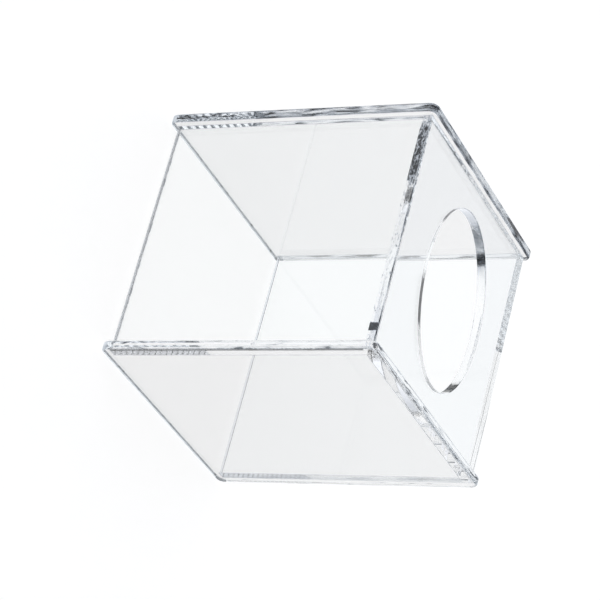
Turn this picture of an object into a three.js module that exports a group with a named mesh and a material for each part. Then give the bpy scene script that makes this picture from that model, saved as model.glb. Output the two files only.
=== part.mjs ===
// Clear acrylic cover for a cube box of tissues.
// Two tall side plates carry a front panel, a back panel and a top panel between them.
// The bottom is open, and the top panel has an oval opening for the tissues.
// Millimetres. +X is the cover's right, +Y its back and +Z up.
// The origin is on the table, at the middle of the footprint.

import * as THREE from "three";

// Driving dimensions
const plateHeight = 140;
const plateDepth = 130;
const overallWidth = 130;
const sheet = 4.5;
const cornerRadius = 4;
const easedEdge = 0.4;

// How far the side plates stand proud of the panels between them
const frontSetback = 4.2;
const rearSetback = 2.6;
const topSetback = 3.2;
const floorGap = 3.4;

// Oval opening in the top panel
const openingWidth = 92;
const openingDepth = 65;
const openingSetBack = 2;
const openingSegments = 72;

// Derived places
const innerHalfWidth = overallWidth / 2 - sheet;
const frontFace = -plateDepth / 2 + frontSetback;
const rearFace = plateDepth / 2 - rearSetback;
const topFace = plateHeight - topSetback;
const undersideOfTop = topFace - sheet;

const clearAcrylic = { color: 0xeef4f6, roughness: 0.03, metalness: 0, transparent: true, opacity: 0.3 };

// Turns a profile drawn in the YZ plane, and extruded along local Z, so that it runs along +X
const profileAlongX = new THREE.Matrix4().makeBasis(
  new THREE.Vector3(0, 1, 0),
  new THREE.Vector3(0, 0, 1),
  new THREE.Vector3(1, 0, 0),
);

const cover = new THREE.Group();
cover.name = "tissue_box_cover";

function addPiece(name, geometry) {
  const piece = new THREE.Mesh(geometry, new THREE.MeshStandardMaterial(clearAcrylic));
  piece.name = name;
  cover.add(piece);
  return piece;
}

// Rectangle with its four corners rounded, from (left, bottom) to (right, top)
function roundedRectangle(left, bottom, right, top, radius) {
  const outline = new THREE.Shape();
  outline.absarc(right - radius, top - radius, radius, 0, Math.PI / 2);
  outline.absarc(left + radius, top - radius, radius, Math.PI / 2, Math.PI);
  outline.absarc(left + radius, bottom + radius, radius, Math.PI, 1.5 * Math.PI);
  outline.absarc(right - radius, bottom + radius, radius, 1.5 * Math.PI, 2 * Math.PI);
  outline.closePath();
  return outline;
}

// Side plate: rounded corners, and an eased edge all round both faces
function sidePlateGeometry() {
  const outline = roundedRectangle(
    -plateDepth / 2 + easedEdge,
    easedEdge,
    plateDepth / 2 - easedEdge,
    plateHeight - easedEdge,
    cornerRadius - easedEdge,
  );
  return new THREE.ExtrudeGeometry(outline, {
    depth: sheet - 2 * easedEdge,
    bevelEnabled: true,
    bevelSize: easedEdge,
    bevelThickness: easedEdge,
    bevelSegments: 2,
    curveSegments: 8,
  }).translate(0, 0, easedEdge);
}

function addSidePlate(name, innerFaceSide) {
  const plate = addPiece(name, sidePlateGeometry().applyMatrix4(profileAlongX));
  plate.position.x = innerFaceSide < 0 ? -overallWidth / 2 : innerHalfWidth;
}

// Upright panel between the side plates, from outerY to innerY, with its bottom edge eased
function addUprightPanel(name, outerY, innerY) {
  const low = Math.min(outerY, innerY);
  const high = Math.max(outerY, innerY);
  const profile = new THREE.Shape();
  profile.moveTo(low, undersideOfTop);
  profile.lineTo(low, floorGap + easedEdge);
  profile.lineTo(low + easedEdge, floorGap);
  profile.lineTo(high - easedEdge, floorGap);
  profile.lineTo(high, floorGap + easedEdge);
  profile.lineTo(high, undersideOfTop);
  profile.closePath();
  const bar = new THREE.ExtrudeGeometry(profile, { depth: 2 * innerHalfWidth, bevelEnabled: false });
  const panel = addPiece(name, bar.applyMatrix4(profileAlongX));
  panel.position.x = -innerHalfWidth;
}

// Top panel: lies on the front and back panels, with the oval cut through it
function addTopPanel(name) {
  const outline = new THREE.Shape();
  outline.moveTo(-innerHalfWidth, frontFace);
  outline.lineTo(innerHalfWidth, frontFace);
  outline.lineTo(innerHalfWidth, rearFace);
  outline.lineTo(-innerHalfWidth, rearFace);
  outline.closePath();
  const opening = new THREE.Path();
  opening.absellipse(0, openingSetBack, openingWidth / 2, openingDepth / 2, 0, 2 * Math.PI, true);
  outline.holes.push(opening);
  const slab = new THREE.ExtrudeGeometry(outline, {
    depth: sheet,
    bevelEnabled: false,
    curveSegments: openingSegments,
  });
  const panel = addPiece(name, slab);
  panel.position.z = undersideOfTop;
}

addSidePlate("left_side_plate", -1);
addSidePlate("right_side_plate", 1);
addUprightPanel("front_panel", frontFace, frontFace + sheet);
addUprightPanel("back_panel", rearFace, rearFace - sheet);
addTopPanel("top_panel");

export default cover;
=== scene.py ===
import math

import bmesh
import bpy
from mathutils import Matrix, Vector


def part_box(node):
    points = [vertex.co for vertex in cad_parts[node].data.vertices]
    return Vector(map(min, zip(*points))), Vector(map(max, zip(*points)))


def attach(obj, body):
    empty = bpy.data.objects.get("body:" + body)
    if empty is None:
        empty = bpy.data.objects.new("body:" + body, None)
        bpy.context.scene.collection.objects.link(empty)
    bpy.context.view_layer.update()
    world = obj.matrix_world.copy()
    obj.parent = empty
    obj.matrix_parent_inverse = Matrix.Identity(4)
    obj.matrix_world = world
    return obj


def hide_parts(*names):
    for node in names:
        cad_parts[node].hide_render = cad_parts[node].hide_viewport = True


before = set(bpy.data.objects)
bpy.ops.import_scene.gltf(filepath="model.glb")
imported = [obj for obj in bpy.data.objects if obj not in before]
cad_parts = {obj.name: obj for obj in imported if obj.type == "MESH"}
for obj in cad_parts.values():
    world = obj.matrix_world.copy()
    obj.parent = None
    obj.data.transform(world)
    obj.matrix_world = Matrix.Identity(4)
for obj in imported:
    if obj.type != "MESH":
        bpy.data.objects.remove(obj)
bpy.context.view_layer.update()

# A cover of clear cast acrylic sheet: five flat pieces, sawn, polished on their edges and solvent-welded.
# Everything is in metres, in the part's own frame: +X right, +Y back, +Z up, the table at Z = 0.

MM = 0.001

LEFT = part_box("left_side_plate")
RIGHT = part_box("right_side_plate")
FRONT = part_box("front_panel")
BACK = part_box("back_panel")
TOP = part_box("top_panel")

# How the sheet's edges are finished
PLATE_CORNER = 4.0 * MM
PLATE_EASED = 1.0 * MM
PANEL_EASED = 0.5 * MM
RIM_EASED = 0.4 * MM

# Dried cement beside each weld, and how far the bead at the front panel runs over the right plate
CEMENT_LINE = 0.45 * MM
BEAD = 0.8 * MM
LEFT_BEAD = (FRONT[0].y - CEMENT_LINE, FRONT[0].y)
RIGHT_BEAD = (FRONT[0].y - BEAD, FRONT[0].y + BEAD)

# Opening in the top panel
OPENING_HALF_WIDTH = 46.0 * MM
OPENING_HALF_DEPTH = 32.5 * MM
OPENING_SET_BACK = 2.0 * MM
OPENING_STEPS = 96
NEAR_OPENING = 1.5 * OPENING_HALF_DEPTH

# How faces are told apart: by place, and by the cosine of the angle to an axis
FLAT = 1e-6
SQUARE_ON = 0.999
EDGE_ON = 0.02
DOWNWARD = -0.05

# Finishes that a piece's faces can have, in the order of its material slots
FINISHES = range(9)
FACE, WELD, MILKY_WELD, EDGE, EASED, SAWN, CEMENT, CEMENT_BEAD, RIM = FINISHES


# ---------------------------------------------------------------- materials

def linear(hex_colour):
    """sRGB hex, such as "#e8f0f2", as linear RGBA."""
    parts = [int(hex_colour[i:i + 2], 16) / 255 for i in (1, 3, 5)]
    return [c / 12.92 if c <= 0.04045 else ((c + 0.055) / 1.055) ** 2.4 for c in parts] + [1.0]


def add(tree, kind, settings=None, inputs=None, stops=()):
    """Adds a node. A tuple (node, output) in inputs is linked, and any other value is set on the socket.
    Stops are a colour ramp's (place, hex colour), in order."""
    node = tree.nodes.new(kind)
    for name, value in (settings or {}).items():
        setattr(node, name, value)
    for name, value in (inputs or {}).items():
        if isinstance(value, tuple) and isinstance(value[0], bpy.types.Node):
            tree.links.new(value[0].outputs[value[1]], node.inputs[name])
        else:
            node.inputs[name].default_value = value
    for index, (place, colour) in enumerate(stops):
        elements = node.color_ramp.elements
        element = elements[index] if index < 2 else elements.new(place)
        element.position = place
        element.color = linear(colour)
    return node


def new_material(name):
    material = bpy.data.materials.new(name)
    material.use_nodes = True
    material.node_tree.nodes.clear()
    return material, material.node_tree


# Solid clear acrylic
ACRYLIC = {"IOR": 1.49, "Transmission Weight": 1.0}


def pattern(tree, spacing, detail, distortion=0.0):
    """Noise on Object coordinates, with a real spacing in millimetres along X, Y and Z."""
    place = add(tree, "ShaderNodeTexCoord")
    stretch = add(tree, "ShaderNodeMapping", inputs={
        "Vector": (place, "Object"), "Scale": [1 / (step * MM) for step in spacing],
    })
    return add(tree, "ShaderNodeTexNoise", inputs={
        "Vector": (stretch, "Vector"), "Scale": 1.0, "Detail": detail, "Distortion": distortion,
    })


def cast_acrylic(name, tint):
    """Cell-cast acrylic sheet: glass-clear, and so slightly wavy that what is behind it hardly bends."""
    material, tree = new_material(name)
    ripple = pattern(tree, (45, 45, 45), 1.0)
    bump = add(tree, "ShaderNodeBump", inputs={"Height": (ripple, "Fac"), "Distance": 0.03 * MM})
    shader = add(tree, "ShaderNodeBsdfPrincipled", inputs=ACRYLIC | {
        "Base Color": linear(tint), "Roughness": 0.0, "Normal": (bump, "Normal"),
    })
    add(tree, "ShaderNodeOutputMaterial", inputs={"Surface": (shader, 0)})
    return material


def polished_edge_with_painted_reflection(name, spacing, stops, height):
    """Cut edge, scraped and flame-polished: clear, but wavy, with streaks that run along the edge. The waviness
    is in the bump; the dark streaks in its colour are painted reflections of the dark of the room.
    """
    material, tree = new_material(name)
    streaks = pattern(tree, spacing, 2.0, 0.6)
    bump = add(tree, "ShaderNodeBump", inputs={"Height": (streaks, "Fac"), "Distance": height * MM})
    colour = add(tree, "ShaderNodeValToRGB", inputs={"Fac": (streaks, "Fac")}, stops=stops)
    shader = add(tree, "ShaderNodeBsdfPrincipled", inputs=ACRYLIC | {
        "Base Color": (colour, "Color"), "Roughness": 0.03, "Normal": (bump, "Normal"),
    })
    add(tree, "ShaderNodeOutputMaterial", inputs={"Surface": (shader, 0)})
    return material


def over_run(table, run):
    """A table of (place in the run, hex colour) as a colour ramp's stops, for a run from run[0] to run[1]."""
    return [((at - run[0]) / (run[1] - run[0]), colour) for at, colour in table]


def top_edge_with_painted_reflection():
    """Front edge of the top panel: polished, with painted reflections of the dark room as dark streaks, more of
    them near its left end and in one short stretch near its right end.
    """
    material, tree = new_material("top_panel_edge_painted_reflection")
    streaks = pattern(tree, (2.0, 9, 1.1), 3.0, 0.8)
    bump = add(tree, "ShaderNodeBump", inputs={"Height": (streaks, "Fac"), "Distance": 0.12 * MM})
    place = add(tree, "ShaderNodeTexCoord")
    axes = add(tree, "ShaderNodeSeparateXYZ", inputs={"Vector": (place, "Object")})
    along = add(tree, "ShaderNodeMapRange", inputs={
        "Value": (axes, "X"), "From Min": EDGE_RUN[0] * MM, "From Max": EDGE_RUN[1] * MM,
    })
    paleness = add(
        tree, "ShaderNodeValToRGB", inputs={"Fac": (along, "Result")}, stops=over_run(EDGE_STREAK_PALENESS, EDGE_RUN),
    )
    streak_level = add(tree, "ShaderNodeMath", {"operation": "MULTIPLY"}, {0: (streaks, "Fac"), 1: (paleness, "Color")})
    colour = add(tree, "ShaderNodeValToRGB", inputs={"Fac": (streak_level, "Value")}, stops=TOP_EDGE_PAINTED_REFLECTION_STREAKS)
    shader = add(tree, "ShaderNodeBsdfPrincipled", inputs=ACRYLIC | {
        "Base Color": (colour, "Color"), "Roughness": 0.03, "Normal": (bump, "Normal"),
    })
    add(tree, "ShaderNodeOutputMaterial", inputs={"Surface": (shader, 0)})
    return material


def polished_rim_with_painted_reflection():
    """Rim of the opening, cut and flame-polished: clear, with painted reflections of the dark of the room in
    stretches of its colour. On the near side the painted dark shows only at a slant, where the sheet would
    mirror the room inside it."""
    material, tree = new_material("polished_opening_rim_painted_reflection")
    streaks = pattern(tree, (3, 3, 1.6), 2.0)
    bump = add(tree, "ShaderNodeBump", inputs={"Height": (streaks, "Fac"), "Distance": 0.04 * MM})

    # Angle round the oval, from +X towards +Y, a little uneven so that no stretch ends in a clean line
    place = add(tree, "ShaderNodeTexCoord")
    axes = add(tree, "ShaderNodeSeparateXYZ", inputs={"Vector": (place, "Object")})
    from_middle = add(tree, "ShaderNodeMath", {"operation": "SUBTRACT"}, {
        0: (axes, "Y"), 1: OPENING_SET_BACK,
    })
    x = add(tree, "ShaderNodeMath", {"operation": "DIVIDE"}, {0: (axes, "X"), 1: OPENING_HALF_WIDTH})
    y = add(tree, "ShaderNodeMath", {"operation": "DIVIDE"}, {
        0: (from_middle, "Value"), 1: OPENING_HALF_DEPTH,
    })
    turn = add(tree, "ShaderNodeMath", {"operation": "ARCTAN2"}, {0: (y, "Value"), 1: (x, "Value")})
    uneven = add(tree, "ShaderNodeMath", {"operation": "MULTIPLY_ADD"}, {
        0: (streaks, "Fac"), 1: RIM_UNEVEN, 2: (turn, "Value"),
    })
    round_rim = add(tree, "ShaderNodeMapRange", inputs={
        "Value": (uneven, "Value"),
        "From Min": RIM_UNEVEN / 2 - math.pi,
        "From Max": RIM_UNEVEN / 2 + math.pi,
    })
    position = {"Fac": (round_rim, "Result")}
    # Painted reflections round the rim: the far side's colours, and the near side's darkness
    far_painted_reflection = add(tree, "ShaderNodeValToRGB", inputs=position, stops=over_run(RIM_FAR_PAINTED_REFLECTION, RIM_RUN))
    near_painted_reflection = add(tree, "ShaderNodeValToRGB", inputs=position, stops=over_run(RIM_NEAR_PAINTED_REFLECTION, RIM_RUN))

    lean = add(tree, "ShaderNodeLayerWeight", inputs={"Blend": 0.5})
    slant = add(tree, "ShaderNodeMapRange", inputs={
        "Value": (lean, "Facing"), "From Min": RIM_SLANT[0], "From Max": RIM_SLANT[1],
    })
    # Painted dark: the near side's painted reflection of the dark room, only where the rim is seen at a slant
    dark = add(tree, "ShaderNodeMath", {"operation": "MULTIPLY"}, {
        0: (near_painted_reflection, "Color"), 1: (slant, "Result"),
    })
    clear = add(tree, "ShaderNodeMath", {"operation": "SUBTRACT"}, {0: 1.0, 1: (dark, "Value")})
    shine = add(tree, "ShaderNodeMath", {"operation": "MULTIPLY"}, {0: (clear, "Value"), 1: 0.5})
    colour = add(tree, "ShaderNodeMix", {"data_type": "RGBA"}, {
        0: (dark, "Value"), 6: (far_painted_reflection, "Color"), 7: linear("#0c0e11"),
    })
    shader = add(tree, "ShaderNodeBsdfPrincipled", inputs=ACRYLIC | {
        "Base Color": (colour, 2), "Roughness": 0.02, "Normal": (bump, "Normal"),
        "Transmission Weight": (clear, "Value"), "Specular IOR Level": (shine, "Value"),
    })
    add(tree, "ShaderNodeOutputMaterial", inputs={"Surface": (shader, 0)})
    return material


def sawn_edge(name, spacing, stops, clearness):
    """Sawn edge left as the blade cut it: satin, with fine blade marks in its bump. The blue-grey mottle and
    dark spots in its colour are painted shade: they stand for the dark floor under the edge, seen through the
    sheet.
    """
    material, tree = new_material(name)
    marks = pattern(tree, spacing, 4.0, 0.3)
    bump = add(tree, "ShaderNodeBump", inputs={"Height": (marks, "Fac"), "Distance": 0.08 * MM})
    colour = add(tree, "ShaderNodeValToRGB", inputs={"Fac": (marks, "Fac")}, stops=stops)
    shader = add(tree, "ShaderNodeBsdfPrincipled", inputs=ACRYLIC | {
        "Base Color": (colour, "Color"), "Roughness": 0.3, "Normal": (bump, "Normal"),
        "Transmission Weight": clearness,
    })
    add(tree, "ShaderNodeOutputMaterial", inputs={"Surface": (shader, 0)})
    return material


def solvent_weld():
    """Solvent weld: the two pieces have melted into one, so light crosses it without bending."""
    material, tree = new_material("solvent_weld")
    shader = add(tree, "ShaderNodeBsdfPrincipled", inputs=ACRYLIC | {
        "Base Color": linear("#ffffff"), "Roughness": 0.0, "Alpha": 0.0,
    })
    add(tree, "ShaderNodeOutputMaterial", inputs={"Surface": (shader, 0)})
    return material


def milky_weld():
    """Solvent weld that dried fast and let go a little: the joint stays visible, as pale lines."""
    material, tree = new_material("hazed_weld")
    haze = pattern(tree, (3, 3, 14), 2.0)
    colour = add(tree, "ShaderNodeValToRGB", inputs={"Fac": (haze, "Fac")}, stops=PALE_HAZE)
    shader = add(tree, "ShaderNodeBsdfPrincipled", inputs=ACRYLIC | {
        "Base Color": (colour, "Color"), "Roughness": 0.06,
    })
    add(tree, "ShaderNodeOutputMaterial", inputs={"Surface": (shader, 0)})
    return material


def dried_cement(name, stops):
    """Thin bead of dried cement beside a weld: it bends light away, so it shows as a line."""
    material, tree = new_material(name)
    beads = pattern(tree, (3, 3, 9), 2.0)
    colour = add(tree, "ShaderNodeValToRGB", inputs={"Fac": (beads, "Fac")}, stops=stops)
    shader = add(tree, "ShaderNodeBsdfPrincipled", inputs=ACRYLIC | {
        "Base Color": (colour, "Color"), "Roughness": 0.1,
    })
    add(tree, "ShaderNodeOutputMaterial", inputs={"Surface": (shader, 0)})
    return material


def light_table():
    """Opal white light table: matt, and lit evenly from below, so that it shows hardly any shadow."""
    material, tree = new_material("opal_light_table")
    shader = add(tree, "ShaderNodeBsdfPrincipled", inputs={
        "Base Color": linear("#9c9c9c"),
        "Roughness": 0.6,
        "Specular IOR Level": 0.2,
        "Emission Color": linear("#ffffff"),
        "Emission Strength": 0.86,
    })
    add(tree, "ShaderNodeOutputMaterial", inputs={"Surface": (shader, 0)})
    return material


# The opening's rim, by angle in degrees from +X towards +Y: painted reflection of what shows through it on its
# far side, and how dark its painted reflection is (white is darkest) on its near side
RIM_RUN = (-180, 180)
RIM_UNEVEN = 0.16
RIM_SLANT = (0.2, 0.34)
RIM_FAR_PAINTED_REFLECTION = [
    (-180, "#dfe3e8"), (-160, "#e9ecf0"), (-120, "#fcfdfe"), (-30, "#fcfdfe"), (-4, "#c3c8ce"),
    (22, "#eef0f3"), (29, "#eef0f3"), (31, "#050607"), (47, "#050607"), (50, "#f3f5f7"), (112, "#fbfcfd"),
    (128, "#eceff2"), (136, "#8e959d"), (138, "#101317"), (143, "#14171b"), (147, "#a0a6ae"),
    (158, "#7d838b"), (170, "#c7ccd3"), (180, "#dfe3e8"),
]
RIM_NEAR_PAINTED_REFLECTION = [
    (-180, "#000000"), (-150, "#000000"), (-145, "#e8e8e8"), (-128, "#e8e8e8"), (-123, "#000000"),
    (-86, "#000000"), (-80, "#f4f4f4"), (-54, "#f4f4f4"), (-47, "#5a5a5a"), (-14, "#242424"), (-8, "#b0b0b0"),
    (8, "#b0b0b0"), (14, "#000000"), (180, "#000000"),
]

# How pale the top panel's front edge is, by X in millimetres: pale where its painted dark streaks are few,
# darker where they are many
EDGE_RUN = (-61, 61)
EDGE_STREAK_PALENESS = [
    (-61, "#d8d8d8"), (-53, "#acacac"), (-27, "#a6a6a6"), (-22, "#e0e0e0"), (49, "#f0f0f0"), (50, "#5c5c5c"),
    (53, "#5c5c5c"), (54, "#e0e0e0"), (61, "#e0e0e0"),
]

# Painted reflection of the dark room along the top panel's front edge
TOP_EDGE_PAINTED_REFLECTION_STREAKS = [(0.20, "#07090c"), (0.26, "#8d96a3"), (0.34, "#f3f5f7")]
# Painted reflections: the dark stops of these streak tables stand for the dark of the room, seen in the
# polished and eased edges
DARK_PAINTED_REFLECTION_STREAKS = [(0.38, "#060709"), (0.46, "#8b929b"), (0.56, "#eef0f3")]
EASED_PAINTED_REFLECTION_STREAKS = [(0.38, "#1c2026"), (0.50, "#8f96a1"), (0.66, "#dfe3e8")]
PALE_PAINTED_REFLECTION_STREAKS = [(0.30, "#14171b"), (0.36, "#b4bac1"), (0.44, "#f4f6f8")]
PALE_EASED_PAINTED_REFLECTION_STREAKS = [(0.32, "#40464d"), (0.42, "#c3c8ce"), (0.60, "#f1f3f5")]
# Painted shade: the dark blue-grey stops of the sawn tables stand for the dark floor under the sheet's bottom
# edge, seen through the sheet
PLATE_SAWN_PAINTED_SHADE = [(0.31, "#2c3238"), (0.37, "#b7c1ca"), (0.60, "#e3e9ef")]
PANEL_SAWN_PAINTED_SHADE = [(0.34, "#8f959c"), (0.44, "#e3e7eb"), (0.62, "#f6f8f9")]
PALE_HAZE = [(0.35, "#eef0f2"), (0.60, "#fcfdfd")]
GREY_CEMENT = [(0.35, "#777c83"), (0.55, "#b9bdc3")]
DARK_CEMENT = [(0.35, "#08090b"), (0.55, "#2b2e33")]

# Eased edges of the panels, with painted reflections of the dark room as dark streaks
EASED_PANEL_EDGE_PAINTED_REFLECTION = polished_edge_with_painted_reflection("eased_panel_edge_painted_reflection", (9, 9, 1.8), EASED_PAINTED_REFLECTION_STREAKS, 0.06)
# Sawn bottom edge of the front panel: blade marks, with painted shade in its colour
SAWN_PANEL_EDGE = sawn_edge("sawn_panel_edge_painted_shade", (3.5, 2.5, 2.5), PANEL_SAWN_PAINTED_SHADE, 0.85)

# What each piece's faces are made of, by finish
PLATE = {
    FACE: cast_acrylic("cast_acrylic_plate", "#eeeeee"),
    WELD: solvent_weld(),
    MILKY_WELD: milky_weld(),
    SAWN: sawn_edge("sawn_plate_edge_painted_shade", (2.5, 3.0, 3.0), PLATE_SAWN_PAINTED_SHADE, 0.25),
    CEMENT: dried_cement("dried_cement", GREY_CEMENT),
}
# The plates' polished and eased edges carry painted reflections of the dark room, as dark streaks
LEFT_PLATE = PLATE | {
    EDGE: polished_edge_with_painted_reflection("polished_left_plate_edge_painted_reflection", (2.2, 16, 16), DARK_PAINTED_REFLECTION_STREAKS, 0.12),
    EASED: polished_edge_with_painted_reflection("eased_left_plate_edge_painted_reflection", (2.2, 16, 16), EASED_PAINTED_REFLECTION_STREAKS, 0.08),
    CEMENT_BEAD: PLATE[CEMENT],
}
RIGHT_PLATE = PLATE | {
    EDGE: polished_edge_with_painted_reflection("polished_right_plate_edge_painted_reflection", (2.2, 9, 9), PALE_PAINTED_REFLECTION_STREAKS, 0.08),
    EASED: polished_edge_with_painted_reflection("eased_right_plate_edge_painted_reflection", (2.2, 12, 12), PALE_EASED_PAINTED_REFLECTION_STREAKS, 0.05),
    CEMENT_BEAD: dried_cement("dried_cement_bead", DARK_CEMENT),
}
BACK_PANE = {
    FACE: cast_acrylic("cast_acrylic_panel", "#fbfcfc"),
    WELD: PLATE[WELD],
    MILKY_WELD: PLATE[MILKY_WELD],
}
FRONT_PANE = BACK_PANE | {SAWN: SAWN_PANEL_EDGE}
TOP_PANE = FRONT_PANE | {EDGE: top_edge_with_painted_reflection(), EASED: EASED_PANEL_EDGE_PAINTED_REFLECTION, RIM: polished_rim_with_painted_reflection()}


# ------------------------------------------------------------------- pieces

def block(low, high):
    """A bmesh box from its lowest to its highest corner."""
    mesh = bmesh.new()
    bmesh.ops.create_cube(mesh, size=1.0)
    bmesh.ops.scale(mesh, vec=high - low, verts=mesh.verts)
    bmesh.ops.translate(mesh, vec=(low + high) / 2, verts=mesh.verts)
    return mesh


def bevel(mesh, edges, width, segments):
    bmesh.ops.bevel(
        mesh, geom=edges, affect="EDGES", offset=width, segments=segments, profile=0.5, material=-1,
    )


def edges_along(mesh, axis, test=lambda middle: True):
    """Edges parallel to an axis (0, 1 or 2) whose middle passes the test."""
    found = []
    for edge in mesh.edges:
        first, second = (v.co for v in edge.verts)
        run = second - first
        if abs(run[axis]) > 0.999 * run.length and test((first + second) / 2):
            found.append(edge)
    return found


def cut(mesh, axis, place):
    """Adds an edge loop where the plane at this place on the axis meets the mesh."""
    normal = [0.0, 0.0, 0.0]
    normal[axis] = 1.0
    point = [0.0, 0.0, 0.0]
    point[axis] = place
    bmesh.ops.bisect_plane(
        mesh, geom=mesh.verts[:] + mesh.edges[:] + mesh.faces[:], dist=FLAT / 10,
        plane_co=point, plane_no=normal,
    )


def inside(point, box, skip):
    """True if the point lies in the box on the two axes other than skip."""
    return all(box[0][i] - FLAT < point[i] < box[1][i] + FLAT for i in range(3) if i != skip)


def widened(box):
    """The box, larger by the cement line all round."""
    edge = Vector((CEMENT_LINE,) * 3)
    return box[0] - edge, box[1] + edge


def add_piece(mesh, name, node, finishes):
    """Makes the object, gives it its finishes, and lets it stand for its CAD node."""
    data = bpy.data.meshes.new(name)
    mesh.to_mesh(data)
    mesh.free()
    piece = bpy.data.objects.new(name, data)
    bpy.context.scene.collection.objects.link(piece)
    for finish in FINISHES:
        data.materials.append(finishes.get(finish, finishes[FACE]))
    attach(piece, "root")
    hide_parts(node)


def finish_of(face, sheet_axis):
    """Sheet faces point along the sheet's axis, cut edges across it, and eased edges lie between."""
    facing = abs(face.normal[sheet_axis])
    if facing > SQUARE_ON:
        return FACE
    if face.normal.z < DOWNWARD:
        return SAWN
    return EASED if facing > EDGE_ON else EDGE


def inner_finish(middle, milky, bead):
    """Finish of a side plate's inner face at this point: welded, beaded with cement, or plain sheet."""
    if bead[0] < middle.y < bead[1] and FRONT[0].z < middle.z < FRONT[1].z:
        return CEMENT_BEAD
    if any(inside(middle, panel, 0) for panel in milky):
        return MILKY_WELD
    if any(inside(middle, panel, 0) for panel in (FRONT, BACK, TOP)):
        return WELD
    if any(inside(middle, widened(panel), 0) for panel in (FRONT, BACK, TOP)):
        return CEMENT
    return FACE


def side_plate(name, node, box, inner, finishes, milky, bead, clear_back):
    """A side plate with rounded corners and eased edges, whose inner face is at X = inner. The milky panels are
    those with milky welds, the bead is the run of Y that the front panel's cement covers, and clear_back says
    that the back edge is as clear as the sheet."""
    mesh = block(*box)
    bevel(mesh, edges_along(mesh, 0), PLATE_CORNER, 8)
    mesh.normal_update()
    rim = [e for e in mesh.edges if len({round(abs(f.normal.x)) for f in e.link_faces}) == 2]
    bevel(mesh, rim, PLATE_EASED, 5)
    welds = [(1, end) for end in bead]
    for panel in (FRONT, BACK, TOP):
        for axis in (1, 2):
            for place, step in ((panel[0][axis], -CEMENT_LINE), (panel[1][axis], CEMENT_LINE)):
                welds += [(axis, place), (axis, place + step)]
    for axis, place in sorted(set(welds)):
        cut(mesh, axis, place)
    mesh.normal_update()
    for face in mesh.faces:
        middle = face.calc_center_median()
        face.material_index = finish_of(face, 0)
        if clear_back and face.material_index in (EDGE, EASED) and face.normal.y > 0.5:
            face.material_index = FACE
        if face.material_index == FACE and abs(middle.x - inner) < FLAT:
            face.material_index = inner_finish(middle, milky, bead)
    add_piece(mesh, name, node, finishes)


def upright_panel(name, node, box, finishes, end_weld):
    """The front or back panel: its ends are welded to the plates and its top edge to the top panel."""
    mesh = block(*box)
    bevel(mesh, edges_along(mesh, 0, lambda middle: middle.z < box[0].z + FLAT), PANEL_EASED, 4)
    mesh.normal_update()
    for face in mesh.faces:
        if abs(face.normal.x) > SQUARE_ON:
            face.material_index = end_weld
        else:
            face.material_index = WELD if face.normal.z > SQUARE_ON else finish_of(face, 1)
    add_piece(mesh, name, node, finishes)


def in_opening(edge):
    """True if the edge lies on the oval."""
    middle = (edge.verts[0].co + edge.verts[1].co) / 2
    from_centre = abs(middle.x), abs(middle.y - OPENING_SET_BACK)
    return from_centre[0] < OPENING_HALF_WIDTH + FLAT and from_centre[1] < OPENING_HALF_DEPTH + FLAT


def top_finish(face, box):
    """Finish of one of the top panel's faces: its ends and its rests on the upright panels are welded."""
    middle = face.calc_center_median()
    on_end = abs(face.normal.x) > SQUARE_ON and abs(middle.x) > box[1].x - FLAT
    on_panel = face.normal.z < -SQUARE_ON and not FRONT[1].y < middle.y < BACK[0].y
    if on_end or on_panel:
        return WELD
    finish = finish_of(face, 2)
    if finish != FACE and abs(middle.y) < NEAR_OPENING:
        return RIM
    return FACE if finish == EDGE and middle.y > 0 else finish


def top_panel(name, node, box, finishes):
    """The top panel: a ring between its outline and the oval opening, raised to the sheet's thickness."""
    mesh = bmesh.new()
    outline = [
        mesh.verts.new((x, y, box[0].z))
        for x, y in ((box[0].x, box[0].y), (box[1].x, box[0].y), (box[1].x, box[1].y), (box[0].x, box[1].y))
    ]
    oval = []
    for step in range(OPENING_STEPS):
        turn = 2 * math.pi * step / OPENING_STEPS
        x = OPENING_HALF_WIDTH * math.cos(turn)
        y = OPENING_HALF_DEPTH * math.sin(turn) + OPENING_SET_BACK
        oval.append(mesh.verts.new((x, y, box[0].z)))
    edges = [mesh.edges.new((ring[i - 1], ring[i])) for ring in (outline, oval) for i in range(len(ring))]
    filled = bmesh.ops.triangle_fill(mesh, edges=edges, use_beauty=True, normal=(0, 0, 1))
    floor = [item for item in filled["geom"] if isinstance(item, bmesh.types.BMFace)]
    raised = bmesh.ops.extrude_face_region(mesh, geom=floor, use_keep_orig=True)
    lifted = [item for item in raised["geom"] if isinstance(item, bmesh.types.BMVert)]
    bmesh.ops.translate(mesh, vec=(0, 0, box[1].z - box[0].z), verts=lifted)
    bmesh.ops.recalc_face_normals(mesh, faces=mesh.faces)
    mesh.normal_update()
    rim = [
        e for e in mesh.edges
        if {abs(round(f.normal.z)) for f in e.link_faces} == {0, 1} and in_opening(e)
    ]
    bevel(mesh, rim, RIM_EASED, 3)
    upper = edges_along(mesh, 0, lambda middle: middle.z > box[1].z - FLAT and abs(middle.y) > NEAR_OPENING)
    bevel(mesh, upper, PANEL_EASED, 4)
    for place in (FRONT[1].y, BACK[0].y):
        cut(mesh, 1, place)
    mesh.normal_update()
    for face in mesh.faces:
        face.material_index = top_finish(face, box)
    add_piece(mesh, name, node, finishes)


side_plate("left_plate", "left_side_plate", LEFT, LEFT[1].x, LEFT_PLATE, (BACK,), LEFT_BEAD, False)
side_plate("right_plate", "right_side_plate", RIGHT, RIGHT[0].x, RIGHT_PLATE, (BACK,), RIGHT_BEAD, True)
upright_panel("front_pane", "front_panel", FRONT, FRONT_PANE, WELD)
upright_panel("back_pane", "back_panel", BACK, BACK_PANE, MILKY_WELD)
top_panel("top_pane", "top_panel", TOP, TOP_PANE)


# -------------------------------------------------------------------- stage

FLOOR_RADIUS = 4.0

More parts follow.
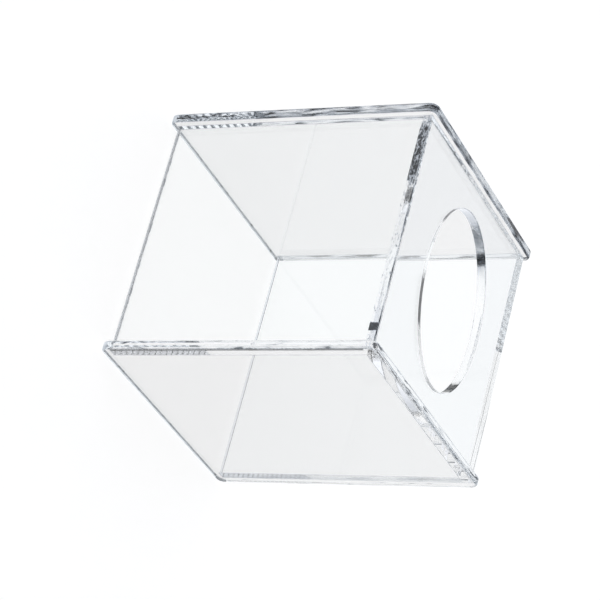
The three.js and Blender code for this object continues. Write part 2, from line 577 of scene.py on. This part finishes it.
# The room's light, by direction: where it starts and ends to change, and what it changes to
WALL_LIGHT = 0.92
OVERHEAD = (0.6, 0.8, 0.08)
DARK_END = (0.45, -0.89, 0.0)
DARK_END_SPREAD = (0.7, 0.86, 0.05)
BRIGHT_SIDE = (-0.75, -0.55, 0.37)
BRIGHT_SIDE_SPREAD = (0.1, 0.7, 1.15)

VIEW_AZIMUTH = math.radians(31.62)
VIEW_ELEVATION = math.radians(27.51)
VIEW_DISTANCE = 1.3233
VIEW_TARGET = Vector((0.0002, 0.0, 0.0574))
VIEW_TILT = math.radians(-0.64)
SENSOR = 36.0
LENS = 167.0

# Light turns back many times inside a sheet before it comes out at an edge
BOUNCES = 128


def add_floor():
    mesh = bmesh.new()
    bmesh.ops.create_circle(mesh, cap_ends=True, segments=64, radius=FLOOR_RADIUS)
    data = bpy.data.meshes.new("floor")
    mesh.to_mesh(data)
    mesh.free()
    data.materials.append(light_table())
    floor = bpy.data.objects.new("floor", data)
    bpy.context.scene.collection.objects.link(floor)


def add_world():
    """Soft white studio walls, with the dark of the room overhead and at the end where the camera stands."""
    world = bpy.data.worlds.new("studio")
    bpy.context.scene.world = world
    world.use_nodes = True
    tree = world.node_tree
    tree.nodes.clear()
    smooth = {"interpolation_type": "SMOOTHSTEP"}
    dot = {"operation": "DOT_PRODUCT"}
    multiply = {"operation": "MULTIPLY"}
    place = add(tree, "ShaderNodeTexCoord")
    axes = add(tree, "ShaderNodeSeparateXYZ", inputs={"Vector": (place, "Generated")})
    overhead = add(tree, "ShaderNodeMapRange", smooth, {
        "Value": (axes, "Z"), "From Min": OVERHEAD[0], "From Max": OVERHEAD[1],
        "To Min": 1.0, "To Max": OVERHEAD[2],
    })
    towards = add(tree, "ShaderNodeVectorMath", dot, {0: (place, "Generated"), 1: DARK_END})
    dark_end = add(tree, "ShaderNodeMapRange", smooth, {
        "Value": (towards, "Value"), "From Min": DARK_END_SPREAD[0], "From Max": DARK_END_SPREAD[1],
        "To Min": 1.0, "To Max": DARK_END_SPREAD[2],
    })
    left = add(tree, "ShaderNodeVectorMath", dot, {0: (place, "Generated"), 1: BRIGHT_SIDE})
    bright_side = add(tree, "ShaderNodeMapRange", smooth, {
        "Value": (left, "Value"), "From Min": BRIGHT_SIDE_SPREAD[0], "From Max": BRIGHT_SIDE_SPREAD[1],
        "To Min": WALL_LIGHT, "To Max": BRIGHT_SIDE_SPREAD[2],
    })
    dimmed = add(tree, "ShaderNodeMath", multiply, {0: (overhead, "Result"), 1: (dark_end, "Result")})
    strength = add(tree, "ShaderNodeMath", multiply, {0: (dimmed, "Value"), 1: (bright_side, "Result")})
    light = add(tree, "ShaderNodeBackground", inputs={
        "Color": linear("#f6f9ff"), "Strength": (strength, "Value"),
    })
    add(tree, "ShaderNodeOutputWorld", inputs={"Surface": (light, 0)})


def add_camera():
    """A long lens above the right front corner, turned on its side, so that the cover's top faces right."""
    data = bpy.data.cameras.new("camera")
    data.sensor_width = SENSOR
    data.lens = LENS
    camera = bpy.data.objects.new("camera", data)
    bpy.context.scene.collection.objects.link(camera)
    back = Vector((
        math.sin(VIEW_AZIMUTH) * math.cos(VIEW_ELEVATION),
        -math.cos(VIEW_AZIMUTH) * math.cos(VIEW_ELEVATION),
        math.sin(VIEW_ELEVATION),
    ))
    right = Vector((math.cos(VIEW_AZIMUTH), math.sin(VIEW_AZIMUTH), 0.0))
    up = back.cross(right)
    upright = Matrix((right, up, back)).transposed()
    on_its_side = Matrix.Rotation(math.radians(90) + VIEW_TILT, 3, "Z")
    place = VIEW_TARGET + VIEW_DISTANCE * back
    camera.matrix_world = Matrix.Translation(place) @ (upright @ on_its_side).to_4x4()
    data.clip_start = 0.05
    data.clip_end = 20.0
    bpy.context.scene.camera = camera


def set_colour():
    scene = bpy.context.scene
    scene.view_settings.view_transform = "Standard"
    scene.cycles.max_bounces = BOUNCES
    scene.cycles.transmission_bounces = BOUNCES
    scene.cycles.glossy_bounces = BOUNCES
    scene.cycles.transparent_max_bounces = BOUNCES
    scene.cycles.use_denoising = True


add_floor()
add_world()
add_camera()
set_colour()
